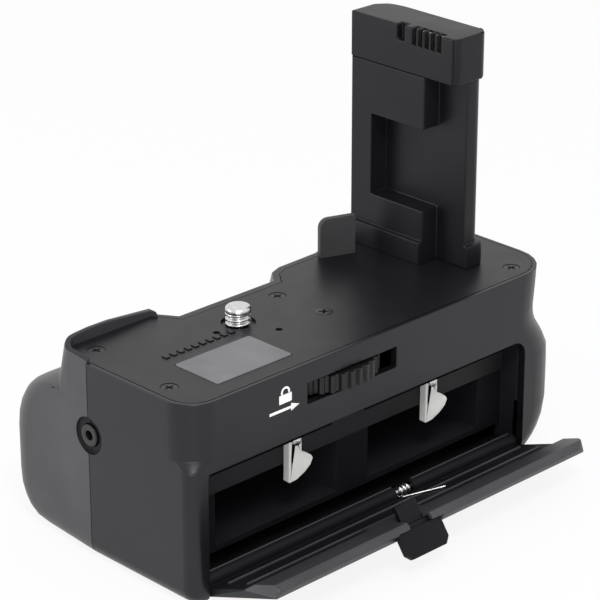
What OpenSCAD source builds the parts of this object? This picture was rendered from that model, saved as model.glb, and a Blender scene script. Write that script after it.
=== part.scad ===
// Camera battery grip: a two-shell housing with a contact tower, a wheel-driven
// mounting screw and a two-cell battery bay behind a hinged door.
// Origin: the mounting screw's axis on the deck. +X right and -Y towards a viewer
// who faces the battery door, +Z up. Millimetres.

/* [Housing] */
// Screw axis to the left end
left_reach = 42; // [40:0.5:48]
// Screw axis to the right end of the deck
right_reach = 83.5; // [82:0.5:90]
// Screw axis to the rear face
rear_reach = 29; // [28:0.5:32]
// Screw axis to the lower front
front_reach = 40.5; // [38:0.5:44]
// Deck to underside
body_h = 51; // [50:0.5:56]
// Housing wall
wall = 2.2; // [1.8:0.1:2.4]
// Thin rim around the deck plate
rim_wall = 1.2; // [1:0.1:1.4]
// Parting plane between the shells, ahead of the screw axis
seam_y = 7; // [5:0.5:8]
// Height of the straight neck under the deck
neck_h = 10.5; // [9:0.5:11.5]
// Height of the round shoulder under the neck
shoulder_h = 17; // [14:0.5:18]
// Share of the swell that the neck itself takes up
neck_flare = 0.2; // [0:0.02:0.3]
// How far the right end swells past the deck
end_bulge = 5; // [3:0.5:7]
// How far the right end draws in at the waist
end_waist = 1; // [0:0.1:2]

/* [Deck] */
// Deck plate thickness
deck_t = 2.4; // [2:0.1:2.8]
// Deck front edge left of the step
deck_front_left = 18.5; // [17:0.5:20]
// Deck front edge behind the lens mount
deck_front_mid = 11.7; // [11:0.1:13]
// Deck front edge ahead of the tower
deck_front_grip = 22.5; // [22.5:0.5:26]
// Height of the raised rim at the front left
rim_h = 2.8; // [2:0.1:4]
// Height of the thin fence left of the tower
fence_h = 10.4; // [7:0.1:12]
// Label plate length
label_l = 23.7; // [20:0.1:26]
// Label plate width
label_w = 14.8; // [12:0.1:15]

/* [Tower] */
// Tower width, front to rear
tower_w = 34.9; // [33:0.1:36]
// Tower thickness
tower_t = 11.5; // [11:0.1:12.5]
// Tower height above the deck
tower_h = 61.4; // [56:0.2:66]
// Tower front face ahead of the screw axis
tower_front = 19.9; // [18:0.1:20]
// Cap height
cap_h = 11.9; // [9:0.1:13]
// How far the cap stands proud of the column
cap_lip = 0.7; // [0.3:0.1:1]
// Width of one contact slot in the cap
contact_slot_w = 1.3; // [1:0.1:1.5]

/* [Mounting screw] */
// Screw thread diameter
screw_d = 6.35; // [6:0.05:6.5]
// Screw length above the deck
screw_len = 4.5; // [3:0.1:6]
// Gear module
gear_m = 0.8; // [0.7:0.05:0.85]
// Teeth on the thumbwheel
wheel_teeth = 24; // [22:2:26]
// Teeth on the screw gear
screw_teeth = 18; // [16:2:20]
// Thumbwheel thickness
wheel_t = 4.4; // [3.5:0.1:4.6]
// How far the thumbwheel stands out of the rear face
wheel_proud = 2; // [1.5:0.1:2.5]
// Ribs round the thumbwheel
wheel_ribs = 40; // [32:2:48]

/* [Battery bay] */
// Left end of the housing to the bay opening
bay_in_left = 5.5; // [5:0.1:7]
// Right end of the deck to the bay opening
bay_in_right = 11; // [10:0.1:13]
// Deck to the top of the bay opening
bay_top = 18; // [17.5:0.1:19]
// Corner radius of the bay opening
bay_r = 4; // [3:0.5:6]
// Depth of the bay in front of the cell wells
bay_depth = 7.8; // [7.6:0.1:9]
// Width of one cell well
well_w = 40; // [38:0.5:42]
// Height of one cell well
well_h = 16.4; // [15:0.1:17]
// Depth of one cell well
well_depth = 50; // [46:0.5:51]
// Distance between the two wells' middles
well_pitch = 51; // [48:0.5:52]
// Opening top to well top
well_drop = 8; // [7.5:0.1:8.5]
// Chassis wall
chassis_wall = 1.2; // [1:0.1:1.4]

/* [Battery hooks] */
// Length from the pivot to the tip
hook_len = 11; // [9:0.1:11.4]
// Reach of the nose
hook_nose = 5.9; // [5:0.1:6.6]
// Stem width
hook_stem = 4.2; // [3:0.1:4.4]
// Distance between the two hooks
hook_pitch = 47.3; // [45:0.1:49]
// Thickness
hook_t = 2.1; // [1.6:0.1:2.2]
// Pivot pin diameter
hook_pin_d = 1.6; // [1.2:0.1:2]

/* [Door] */
// Door plate thickness
door_t = 2.2; // [1.8:0.1:2.4]
// Hinge axis behind the outer face
hinge_in = 3.5; // [3.4:0.1:3.8]
// Hinge axis above the underside
hinge_up = 3.7; // [3.6:0.1:4]
// Hinge pin diameter
hinge_d = 1.6; // [1.4:0.1:1.7]
// Opening angle
door_open = 69.5; // [60:0.5:74]
// Finger gap between the closed door and the lintel
door_reveal = 2.3; // [1.5:0.1:2.6]
// Width of the thick band along the free edge
band_w = 8; // [6:0.5:9]
// Height of the band above the plate
band_h = 1.3; // [0.8:0.1:1.6]
// Latch lever width
lever_w = 14.5; // [12:0.5:18]
// Latch lever length
lever_len = 7.2; // [6:0.1:9]
// Latch lever thickness
lever_t = 1.4; // [1.2:0.1:1.5]
// Angle between the folded and the hanging lever
lever_swing = 105; // [90:1:110]
// Spring wire diameter
spring_wire = 0.7; // [0.5:0.05:0.8]
// Spring turns
spring_turns = 3; // [3:1:4]

/* [Shutter button] */
// Button diameter
button_d = 9; // [7:0.5:10]
// Button travel
button_travel = 1; // [0.6:0.1:1.2]

/* [Remote jack] */
// Plug bore diameter
jack_bore = 2.5; // [2:0.1:3.5]
// Barrel diameter
jack_barrel = 5.5; // [5:0.1:6]
// Deck to jack axis
jack_drop = 18.6; // [18:0.1:20]

/* [Fits] */
// Running clearance on a radius
run_gap = 0.12; // [0.1:0.01:0.15]
// Assembly clearance between fixed pieces
fit_gap = 0.1; // [0.05:0.01:0.15]
// Clearance round a moving panel
door_gap = 0.4; // [0.3:0.05:0.5]

/* [Hidden] */
$fn = 48;
eps = 0.01;
over = 1;

// Housing form; heights on the body keep their share of its height
design_h = 51;
tall = body_h / design_h;
arc_steps = 6;
left_bottom_r = 4;
right_bottom_r = 14;
rear_bottom_r = 2;
front_bottom_r = 12;
rear_left_r = 8;
rear_left_low_r = 3.4;
rear_right_r = 12;
front_left_r = 5.5;
front_left_low_r = 8;
front_right_r = 12;
left_taper = 0.5;
left_low_taper = 1.5;
flare_top = 14;
flare_h = 3;
waist_z = 12 * tall;
bulge_z = 25 * tall;
grip_in = 26.5;
grip_x = right_reach - grip_in;
notch_left = -12;
notch_left_in = -7.7;
notch_right_in = 24;
notch_right = 27.5;
notch_right_out = 31;
grip_foot_in = 39;
grip_foot_x = right_reach - grip_foot_in;
grip_foot_y = 17.8;
inner_floor = -body_h + wall;

// Bay and wells
bay_x0 = -left_reach + bay_in_left;
bay_x1 = right_reach - bay_in_right;
bay_z1 = -bay_top * tall;
bay_mid = (bay_x0 + bay_x1) / 2;
face_y = -rear_reach + bay_depth;
collar_y = -rear_reach + wall;
face_t = 2;
bay_left_r = 0.8;
sharp_r = 0.1;
mouth_r = [sharp_r, sharp_r, bay_r, bay_left_r];
well_tall = well_h * tall;
well_z1 = bay_z1 - well_drop * tall;
well_z0 = well_z1 - well_tall;
well_y1 = face_y + well_depth;
well_wall = 1.6;
function well_x(side) = bay_mid + side * well_pitch / 2;

// Screw drive
gear_cd = gear_m * (wheel_teeth + screw_teeth) / 2;
drive_angle = 53.13;
wheel_x = gear_cd * cos(drive_angle);
wheel_y = -gear_cd * sin(drive_angle);
wheel_r = rear_reach + wheel_proud + wheel_y;
gear_gap = 0.4;
gear_z1 = -deck_t - gear_gap;
gear_t = 2.4;
wheel_z1 = gear_z1 - gear_t - gear_gap;
wheel_z0 = wheel_z1 - wheel_t;
rib_depth = 0.7;
rib_shape = [[0, 0], [0.14, 1], [0.52, 1], [0.66, 0]];
wheel_hub = 2;
axle_d = 3;
bracket_gap = 0.6;
bracket_z1 = wheel_z0 - bracket_gap;
bracket_t = 1.8;
bracket_w = 9;
post_r = 2;
eye_edge = 0.9;
strap_w = 4;
post_gap = 0.6;
post_angles = [66.8, 163];
shank_d = 5;
screw_well_r = 4.3;
screw_well = 0.6;
thread_start = -0.3;
screw_tip = 0.6;
slot_half = 15;
slot_gap = 0.5;
function post_at(a) = [wheel_x, wheel_y] + (wheel_r + post_gap + post_r) * [cos(a), sin(a)];

// Tower
tower_in = 13.8;
tower_x1 = right_reach - tower_in;
tower_x0 = tower_x1 - tower_t;
tower_y0 = tower_front - tower_w;
tower_edge_r = 3;
tower_round_r = 7.5;
tower_sharp_r = 0.8;
plate_t = 6;
column_w = 7.4;
arm_end = 9.4;
low_arm_h = 14.2;
high_arm_h = 13.7;
cap_z0 = tower_h - cap_h;
foot_h = 6;
foot_lip = 1.2;
contact_count = 5;
contact_pitch = 2.1;
contact_h = 4.4;
contact_first = 21;
key_slot_w = 2.4;
key_slot_h = 4;
key_slot_at = 15.9;
slot_depth = 2;

// Door, in its closed place
hinge_y = -rear_reach + hinge_in;
hinge_z = -body_h + hinge_up;
door_x0 = bay_x0 + door_gap;
door_x1 = bay_x1 - door_gap;
door_len = bay_z1 - door_reveal - hinge_z;
heel_sweep = 110;
pin_in = 0.3;
knuckle_r = 2;
edge_chamfer = 1.5;
edge_break = 0.8;
band_slope = 4;
lever_off = 7;
lever_x = bay_mid - lever_off;
lever_pivot_drop = 2.6;
lever_pivot_z = door_len - lever_pivot_drop;
lever_barrel_r = 1;
lever_pivot_in = 1.5;
lever_pivot_y = -hinge_in + lever_pivot_in;
lever_pin_d = 0.9;
lever_pin_seat = 2;
lever_taper = 1.5;
lever_root = 0.3;
nose_w = 7;
nose_catch = 0.9;
nose_out = door_reveal + nose_catch;
nose_t = 1.4;
nose_y0 = -0.2;
nose_slot = 2.4;
latch_clear = 0.3;
pad_edge = 1.5;
spring_off = 11.1;
spring_x = bay_mid + spring_off;
spring_pitch = 1.25;
spring_r = 1.45;
spring_relief = 2.1;
spring_rings = 8;
spring_sides = 6;

// Fasteners
deck_screw_head_d = 4.2;
deck_screw_head_h = 1;
deck_screw_d = 2;
deck_screw_len = 8;
boss_r = 2.7;
boss_h = 9;
bottom_head_d = 4.4;
bottom_head_h = 1.1;
bottom_screw_len = 5.2;
post_d = 6;
thread_room = 0.5;

// Points and curves
function lerp(a, b, t) = a + (b - a) * t;
function clamp01(t) = max(0, min(1, t));
function ease(t) = (1 - cos(180 * clamp01(t))) / 2;
function arc(c, r, a0, a1) =
    [for (i = [0:arc_steps]) let (a = lerp(a0, a1, i / arc_steps)) c + r * [cos(a), sin(a)]];

// How far the lower front has swung out at height z: a slight flare, then a quarter ellipse
function swell(z) = -z <= neck_h
    ? neck_flare * max(0, -z / neck_h)
    : let (t = clamp01((-z - neck_h) / shoulder_h)) lerp(neck_flare, 1, sqrt(1 - (1 - t) * (1 - t)));
// How far a bottom edge of radius r has drawn in at height z
function tuck(r, z, floor_z) = let (h = r - (z - floor_z)) h <= 0 ? 0 : r - sqrt(r * r - h * h);
function end_swell(z) = -z <= waist_z
    ? -end_waist * ease(-z / waist_z)
    : lerp(-end_waist, end_bulge, ease((-z - waist_z) / (bulge_z - waist_z)));
function rear_corner(z) = lerp(rear_left_r, rear_left_low_r, ease((-z - flare_top) / flare_h));

// Front edge of the deck: x, y and how the corner shifts along x when drawn in
front_stations = [
    [grip_x, deck_front_grip, 0.3],
    [grip_foot_x, grip_foot_y, 0.2],
    [notch_right_out, grip_foot_y - 0.4, 0.3],
    [notch_right, grip_foot_y - 1.7, 0.5],
    [notch_right_in, deck_front_mid, 0.57],
    [notch_left_in, deck_front_mid, -0.57],
    [notch_left, deck_front_left, -0.57]
];
// Points between two neighbouring stations that let the swell round them
front_splits = 3;

// One level of the housing, drawn in by i: the rear half and the front half
function end_x0(z, i) = -left_reach + i + tuck(max(left_bottom_r - i, 0.5), z, -body_h + i);
function end_x1(z, i) = right_reach + end_swell(z) - i
    - tuck(max(right_bottom_r - i, 0.5), z, -body_h + i);
function rear_ring(z, i, seam) =
    let (x0 = end_x0(z, i), x1 = end_x1(z, i))
    let (y0 = -rear_reach + i + tuck(max(rear_bottom_r - i, 0.5), z, -body_h + i))
    let (rl = max(rear_corner(z) - i, 0.8), rr = rear_right_r - i)
    concat(
        [[x0, seam]],
        arc([x0 + rl, y0 + rl], rl, 180, 270),
        arc([x1 - rr, y0 + rr], rr, 270, 360),
        [[x1, seam]]
    );
function front_y(deck_y, z, i) = lerp(deck_y, front_reach, swell(z)) - i
    - tuck(max(front_bottom_r - i, 0.5), z, -body_h + i);
function front_ring(z, i, seam) =
    let (x0 = end_x0(z, i), x1 = end_x1(z, i), s = swell(z))
    let (fl = lerp(front_left_r, front_left_low_r, s) - i, fr = front_right_r - i)
    let (xl = x0 + lerp(left_taper, left_low_taper, s))
    let (yr = front_y(deck_front_grip, z, i), yl = front_y(deck_front_left, z, i))
    let (line = [for (p = front_stations) [p[0] + i * p[2], front_y(p[1], z, i)]])
    concat(
        [[x1, seam]],
        arc([x1 - fr, yr - fr], fr, 0, 90),
        [for (k = [0:len(line) - 2], j = [0:front_splits - 1]) lerp(line[k], line[k + 1], j / front_splits)],
        [line[len(line) - 1]],
        arc([xl + fl, yl - fl], fl, 90, 180),
        [[x0, seam]]
    );

// Heights of the levels, from the top down to the floor f
neck_steps = [0, 0.01, 0.05, 0.12, 0.206, 0.25, 0.294, 0.338, 0.382, 0.55, 0.75, 1];
foot_steps = [13, 9, 6, 4, 2.4, 1.2, 0.4, 0];
function levels(top, f) = concat(
    [top, -neck_h / 2],
    [for (t = neck_steps) -neck_h - t * shoulder_h],
    [-neck_h - shoulder_h - 4],
    [for (h = foot_steps) f + h]
);

// A solid through a list of rings with the same number of points
module loft(rings, zs) {
    n = len(rings[0]);
    m = len(rings);
    points = [for (k = [0:m - 1], p = rings[k]) [p[0], p[1], zs[k]]];
    sides = [for (k = [0:m - 2], j = [0:n - 1]) let (a = k * n + j, b = k * n + (j + 1) % n)
        each [[a, b, b + n], [a, b + n, a + n]]];
    top = [for (j = [n - 1:-1:0]) j];
    bottom = [for (j = [0:n - 1]) (m - 1) * n + j];
    polyhedron(points, concat(sides, [top, bottom]), convexity = 10);
}

// A box between two corners
module block(a, b) {
    translate(a) cube(b - a);
}

// A cylinder along X
module rod_x(r, x0, x1, y, z) {
    translate([x0, y, z]) rotate([0, 90, 0]) cylinder(r = r, h = x1 - x0);
}

// A cylinder along Y
module rod_y(r, y0, y1, x, z) {
    translate([x, y0, z]) rotate([-90, 0, 0]) cylinder(r = r, h = y1 - y0);
}

// A flat strap in the plane
module strap(p, q, w) {
    d = q - p;
    translate(p) rotate(atan2(d[1], d[0])) translate([0, -w / 2]) square([norm(d), w]);
}

// A rectangle whose corners have their own radii, anticlockwise from the lower left
module corner_rect(a, b, r) {
    polygon(concat(
        arc(a + [r[0], r[0]], r[0], 180, 270),
        arc([b[0] - r[1], a[1] + r[1]], r[1], 270, 360),
        arc(b - [r[2], r[2]], r[2], 0, 90),
        arc([a[0] + r[3], b[1] - r[3]], r[3], 90, 180)
    ));
}

function deck_outline(i) = concat(rear_ring(0, i, seam_y), front_ring(0, i, seam_y));

// A spur gear outline with thinned teeth; tooth 0 points along +X
gear_backlash = 0.12;
pressure = 20;
addendum = 0.95;
dedendum = 1.2;
flank_steps = 3;
function gear_outline(teeth) =
    let (rp = gear_m * teeth / 2, rb = rp * cos(pressure))
    let (ra = rp + gear_m * addendum, rf = rp - gear_m * dedendum)
    let (r0 = max(rb, rf))
    let (inv_p = tan(pressure) * 180 / PI - pressure)
    let (half = 90 / teeth - gear_backlash / 2 / rp * 180 / PI + inv_p)
    [for (t = [0:teeth - 1], side = [-1, 1], k = [0:flank_steps])
        let (f = side < 0 ? k / flank_steps : 1 - k / flank_steps)
        let (r = lerp(r0, ra, f), pa = acos(min(1, rb / r)))
        let (roll = half - (tan(pa) * 180 / PI - pa))
        let (a = 360 * t / teeth + side * roll)
        each (side < 0 && k == 0) ? [rf * [cos(a), sin(a)], r * [cos(a), sin(a)]]
            : (side > 0 && k == flank_steps) ? [r * [cos(a), sin(a)], rf * [cos(a), sin(a)]]
            : [r * [cos(a), sin(a)]]];

// Housing shells
function half_ring(front, z, i, seam) = front ? front_ring(z, i, seam) : rear_ring(z, i, seam);
module housing_half(front) {
    zs = levels(front ? rim_h : 0, -body_h);
    deep = levels(-deck_t, inner_floor);
    cut_seam = front ? seam_y - over : seam_y + over;
    seat = half_ring(front, 0, rim_wall, cut_seam);
    mouth = half_ring(front, 0, wall, cut_seam);
    difference() {
        loft([for (z = zs) half_ring(front, min(z, 0), 0, seam_y)], zs);
        // The deck's seat, its ledge and the hollow under it
        loft(concat(
            [seat, seat, mouth],
            [for (k = [1:len(deep) - 1]) half_ring(front, deep[k], wall, cut_seam)]
        ), concat([rim_h + over, -deck_t], deep));
        jack_cut();
    }
}

// What is cut away above the front wall: a low rim is left at the left end only
rim_low = 0.4;
rim_start = 4;
rim_full = [10, 16];
rim_step = 0.4;
module front_trim() {
    crest = rim_h + over;
    right = right_reach + end_bulge + over;
    translate([0, front_reach + over, 0]) rotate([90, 0, 0]) linear_extrude(front_reach + over)
        polygon([
            [-left_reach - over, crest],
            [-left_reach - over, rim_low],
            [-left_reach + rim_start, rim_h * 0.8],
            [-left_reach + rim_full[0], rim_h],
            [-left_reach + rim_full[1], rim_h],
            [notch_left, rim_h / 2],
            [notch_left + rim_step, 0],
            [right, 0],
            [right, crest]
        ]);
}

web_t = 2;
module boss(at, web_to) {
    d = web_to - at;
    translate([at[0], at[1], -deck_t - boss_h]) {
        cylinder(r = boss_r, h = boss_h);
        rotate(atan2(d[1], d[0])) translate([0, -web_t / 2, 0]) cube([norm(d), web_t, boss_h]);
    }
}

front_screw_in = [7, 11.5];
rear_screw_in = [5.5, 13];
right_screw_in = [10.5, 6];
deck_screw_left_front = [-left_reach + front_screw_in[0], front_screw_in[1]];
deck_screw_left_rear = [-left_reach + rear_screw_in[0], -rear_reach + rear_screw_in[1]];
deck_screw_right = [right_reach - right_screw_in[0], -rear_reach + right_screw_in[1]];
deck_screw_places = [deck_screw_left_front, deck_screw_left_rear, deck_screw_right, post_at(post_angles[0])];

bottom_in = [5, 7];
bottom_x = [well_x(-1) - well_w / 2 + bottom_in[0], well_x(1) + well_w / 2 - bottom_in[1]];
bottom_y_rear = -12;
bottom_y_front = 20;
tripod_r = 5.5;
tripod_flange_r = 7.5;
tripod_flange_h = 1.2;
tripod_h = 5.6;
tripod_bore = 5.1;

module bottom_holes(y) {
    for (x = bottom_x) translate([x, y, -body_h - over]) {
        cylinder(d = deck_screw_d + 2 * fit_gap, h = wall + 2 * over);
        cylinder(d = bottom_head_d + 2 * fit_gap, h = bottom_head_h + over);
    }
}

button_y = 14;
button_drop = 30;
button_z = -button_drop * tall;
button_face = right_reach + end_bulge;
bezel_r = button_d / 2 + 2;
bezel_neck_r = button_d / 2 + 1.1;
bezel_lip = 0.8;

module front_shell() {
    color([0.09, 0.09, 0.1]) difference() {
        union() {
            housing_half(true);
            boss(deck_screw_left_front, [-left_reach + wall / 2 + left_taper, deck_screw_left_front[1]]);
        }
        front_trim();
        translate([deck_screw_left_front[0], deck_screw_left_front[1], -deck_t - boss_h - over])
            cylinder(d = deck_screw_d + 2 * fit_gap, h = boss_h + 2 * over);
        bottom_holes(bottom_y_front);
        rod_x(bezel_neck_r + fit_gap, button_face - wall - 2, button_face + over, button_y, button_z);
    }
}

// The plug's opening and its ring-shaped recess, halved by the seam
jack_recess_r = 4.7;
jack_recess_t = 0.9;
jack_box = 7;
jack_len = 8.7;
jack_sink = 0.2;
jack_wall_gap = 0.3;
jack_z = -jack_drop * tall;
jack_back = 1.5;
module jack_cut() {
    rod_x(jack_barrel / 2 + fit_gap, -left_reach - over, -left_reach + wall + over, seam_y, jack_z);
    rod_x(jack_recess_r, -left_reach - over, -left_reach + jack_recess_t, seam_y, jack_z);
}

// The mouth runs out through the lower rear edge so that the door's heel can turn
heel_room = 0.3;
floor_edge_y = hinge_y + hinge_in + heel_room;
module bay_mouth() {
    translate([0, collar_y + over, 0]) rotate([90, 0, 0]) linear_extrude(wall + 2 * over)
        corner_rect([bay_x0, -body_h - over], [bay_x1, bay_z1], mouth_r);
    block([bay_x0, -rear_reach - over, -body_h - over], [bay_x1, floor_edge_y, inner_floor + over]);
}

module latch_notch() {
    y0 = hinge_y + lever_pivot_y + nose_y0;
    block([lever_x - nose_w / 2 - latch_clear, y0 - latch_clear, bay_z1 - over],
        [lever_x + nose_w / 2 + latch_clear, y0 + nose_t + latch_clear,
         hinge_z + door_len + nose_out + latch_clear]);
}

module rear_shell() {
    color([0.09, 0.09, 0.1]) difference() {
        union() {
            housing_half(false);
            boss(deck_screw_left_rear, [-left_reach + wall / 2, deck_screw_left_rear[1]]);
            boss(deck_screw_right, [deck_screw_right[0], -rear_reach + wall / 2]);
        }
        bay_mouth();
        latch_notch();
        block([wheel_x - slot_half, -rear_reach - over, wheel_z0 - slot_gap],
            [wheel_x + slot_half, -rear_reach + wall + over, wheel_z1 + slot_gap]);
        for (p = [deck_screw_left_rear, deck_screw_right])
            translate([p[0], p[1], -deck_t - boss_h - over])
                cylinder(d = deck_screw_d + 2 * fit_gap, h = boss_h + 2 * over);
        bottom_holes(bottom_y_rear);
        translate([0, 0, -body_h - over]) cylinder(r = tripod_r + fit_gap, h = wall + 2 * over);
    }
}

// Deck
label_in = 14.4;
label_x0 = -left_reach + label_in;
label_y0 = -22.7;
label_t = 0.5;
label_r = 0.6;
label_sink = 0.3;
rib_row_y = -4;
rib_row_in = 15.3;
rib_row_x0 = -left_reach + rib_row_in;
rib_count = 10;
rib_pitch = 2.3;
rib_size = [1.3, 1.7, 0.3];
dimple_d = 1.8;
dimple_depth = 0.5;
axle_seat = 1.4;
dimples = [[4, -10], [19.5, -9], [-8, -1]];
fence_in = [1.4, 1.4];
fence_at = [grip_foot_x - fence_in[0], grip_foot_y - fence_in[1]];
fence_turn = -20.3;
fence_t = 1.6;
fence_r = 2.5;
fence_len = 9.8;
module top_deck() {
    color([0.13, 0.13, 0.14]) difference() {
        union() {
            translate([fence_at[0], fence_at[1], -eps]) rotate([90, 0, fence_turn]) linear_extrude(fence_t)
                polygon(concat(
                    [[0, 0], [fence_len, 0], [fence_len, fence_h], [fence_r, fence_h]],
                    arc([fence_r, fence_h - fence_r], fence_r, 90, 180)
                ));
            translate([0, 0, -deck_t]) linear_extrude(deck_t)
                polygon(deck_outline(rim_wall + fit_gap));
            for (k = [0:rib_count - 1])
                translate([rib_row_x0 + k * rib_pitch, rib_row_y, -eps]) cube(rib_size);
        }
        translate([0, 0, -deck_t - over]) cylinder(d = shank_d + 2 * run_gap, h = deck_t + 2 * over);
        translate([0, 0, -screw_well]) cylinder(r = screw_well_r, h = screw_well + over);
        translate([wheel_x, wheel_y, -deck_t - over])
            cylinder(d = axle_d + 2 * fit_gap, h = over + axle_seat);
        for (p = deck_screw_places) {
            translate([p[0], p[1], -deck_t - over])
                cylinder(d = deck_screw_d + 2 * fit_gap, h = deck_t + 2 * over);
            translate([p[0], p[1], -deck_screw_head_h])
                cylinder(d = deck_screw_head_d + 2 * fit_gap, h = deck_screw_head_h + over);
        }
        for (p = dimples)
            translate([p[0], p[1], -dimple_depth]) cylinder(d = dimple_d, h = dimple_depth + over);
        for (y = tower_screw_y) translate([tower_screw_x, y, -deck_t - over])
            cylinder(d = tower_screw_d + 2 * fit_gap, h = deck_t + 2 * over);
        block([label_x0 - fit_gap, label_y0 - fit_gap, -label_sink],
            [label_x0 + label_l + fit_gap, label_y0 + label_w + fit_gap, over]);
    }
}

module label_plate() {
    color([0.45, 0.45, 0.47])
        translate([label_x0, label_y0, -label_sink]) linear_extrude(label_t)
            corner_rect([0, 0], [label_l, label_w], [label_r, label_r, label_r, label_r]);
}

// One screw, top of the head at z = 0 and shank along -Z
cross_w = 0.6;
cross_share = 0.6;
cross_depth = 0.6;
head_sink = 0.1;
module screw(head_d, head_h, d, len) {
    difference() {
        union() {
            translate([0, 0, -head_h]) cylinder(d = head_d, h = head_h);
            translate([0, 0, -len]) cylinder(d = d, h = len);
        }
        for (a = [0, 90]) rotate(a) translate([-head_d * cross_share / 2, -cross_w / 2, -cross_depth])
            cube([head_d * cross_share, cross_w, over]);
    }
}

module deck_screws() {
    color([0.05, 0.05, 0.05]) for (p = deck_screw_places)
        translate([p[0], p[1], -head_sink])
            screw(deck_screw_head_d, deck_screw_head_h - head_sink, deck_screw_d, deck_screw_len);
}

module bottom_screws() {
    color([0.05, 0.05, 0.05]) for (x = bottom_x, y = [bottom_y_rear, bottom_y_front])
        translate([x, y, -body_h + head_sink]) rotate([180, 0, 0])
            screw(bottom_head_d, bottom_head_h - head_sink, deck_screw_d, bottom_screw_len);
}

// Contact tower
tower_screw_d = 2.4;
tower_screw_in = [4, 8, 9];
tower_screw_x = tower_x1 - tower_screw_in[0];
tower_screw_y = [tower_y0 + tower_screw_in[1], tower_front - tower_screw_in[2]];
tower_screw_len = 8;
tower_head_d = 4.4;
tower_head_h = 1.4;
module tower_plan(grow) {
    corner_rect([tower_x0 - grow, tower_y0 - grow], [tower_x1 + grow, tower_front + grow],
        [tower_edge_r, tower_edge_r, tower_round_r, tower_sharp_r]);
}

module tower_body() {
    back_x = tower_x1 - plate_t;
    arm_y = tower_y0 + arm_end;
    color([0.09, 0.09, 0.1]) difference() {
        union() {
            linear_extrude(cap_z0) tower_plan(0);
            linear_extrude(foot_h) tower_plan(foot_lip);
        }
        block([tower_x0 - foot_lip - over, tower_y0 - foot_lip - over, -over],
            [back_x, arm_y, cap_z0 + over]);
        block([tower_x0 - over, arm_y - over, low_arm_h],
            [back_x, tower_front - column_w, cap_z0 - high_arm_h]);
        for (y = tower_screw_y) translate([tower_screw_x, y, -over])
            cylinder(d = tower_screw_d + 2 * fit_gap, h = tower_screw_len + over);
    }
}

module tower_cap() {
    color([0.1, 0.1, 0.11]) difference() {
        translate([0, 0, cap_z0]) linear_extrude(cap_h) intersection() {
            tower_plan(cap_lip);
            translate([tower_x0, tower_y0 - 2 * over]) square([tower_t + 2 * over, tower_w + 2 * over]);
        }
        block([tower_x0 - over, tower_front - key_slot_at - key_slot_w, tower_h - key_slot_h],
            [tower_x0 + slot_depth, tower_front - key_slot_at, tower_h + over]);
        for (k = [0:contact_count - 1])
            let (y = tower_front - contact_first - k * contact_pitch)
            block([tower_x0 - over, y - contact_slot_w, tower_h - contact_h],
                [tower_x0 + slot_depth, y, tower_h + over]);
    }
}

module tower_contacts() {
    tip = 0.9;
    drop = 0.4;
    color([0.8, 0.72, 0.5]) for (k = [0:contact_count - 1])
        let (y = tower_front - contact_first - k * contact_pitch)
        block([tower_x0 + slot_depth - tip, y - contact_slot_w + fit_gap, tower_h - contact_h],
            [tower_x0 + slot_depth, y - fit_gap, tower_h - drop]);
}

module tower_screws() {
    color("silver") for (y = tower_screw_y)
        translate([tower_screw_x, y, -deck_t]) rotate([180, 0, 0])
            translate([0, 0, tower_head_h])
                screw(tower_head_d, tower_head_h, tower_screw_d, tower_screw_len + tower_head_h);
}

// Battery bay
standoff_r = 2;
corner_cut = 3;
edge_lift = 0.3;
board_in = 2.5;
board_off = 8;
board_x = [-left_reach + wall + board_in, bay_mid - board_off];
board_y = [-14, 19];
board_t = 1.2;
board_hole_d = 1.6;
chip = [7, 7, 1.2];
small_chip = [5, 4, 0.9];
board_z1 = jack_z - jack_box / 2;
board_edge = 4;
jack_room = 12;
board_places = [
    for (x = [board_x[0] + jack_room, board_x[1] - board_edge])
        for (y = [board_y[0] + board_edge, board_y[1] - board_edge]) [x, y]
];
chip_at = [board_x[1] - 16, 2];
small_chip_at = [board_x[0] + jack_room, -9];
module bay_chassis() {
    roof = well_z1 + well_wall;
    floor_z = well_z0 - well_wall;
    color([0.05, 0.05, 0.055]) difference() {
        union() {
            block([bay_x0 - chassis_wall, collar_y + fit_gap, inner_floor + edge_lift],
                [bay_x1 + chassis_wall, face_y + face_t, bay_z1 + chassis_wall]);
            for (side = [-1, 1])
                block([well_x(side) - well_w / 2 - well_wall, face_y, floor_z],
                    [well_x(side) + well_w / 2 + well_wall, well_y1 + well_wall, roof]);
            for (p = board_places) translate([p[0], p[1], roof - eps])
                cylinder(r = standoff_r, h = board_z1 - board_t - roof + eps);
            for (x = bottom_x, y = [bottom_y_rear, bottom_y_front]) translate([x, y, inner_floor])
                cylinder(d = post_d, h = floor_z - inner_floor + eps);
        }
        // The lower right corner clears the round of the shell
        translate([bay_x1 + chassis_wall, collar_y, inner_floor]) rotate(45)
            cube([corner_cut, corner_cut, body_h / 2], center = true);
        // The open mouth down to the face plate
        translate([0, face_y, 0]) rotate([90, 0, 0]) linear_extrude(bay_depth)
            corner_rect([bay_x0, inner_floor - over], [bay_x1, bay_z1], mouth_r);
        // Room for the door's heel under the wells
        block([bay_x0, collar_y - over, inner_floor - over], [bay_x1, face_y + face_t + over, floor_z]);
        for (side = [-1, 1])
            block([well_x(side) - well_w / 2, face_y - over, well_z0],
                [well_x(side) + well_w / 2, well_y1, well_z1]);
        rod_x(hinge_d / 2 + fit_gap, bay_x0 - chassis_wall - over, bay_x1 + chassis_wall + over,
            hinge_y, hinge_z);
        for (side = [-1, 1])
            rod_y(hook_pin_d / 2 + fit_gap, face_y - over, face_y + face_t + over, hook_x(side), hook_z);
        for (x = bottom_x, y = [bottom_y_rear, bottom_y_front]) translate([x, y, -body_h])
            cylinder(d = deck_screw_d + 2 * fit_gap, h = bottom_screw_len + thread_room);
        latch_notch();
    }
}

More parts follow.
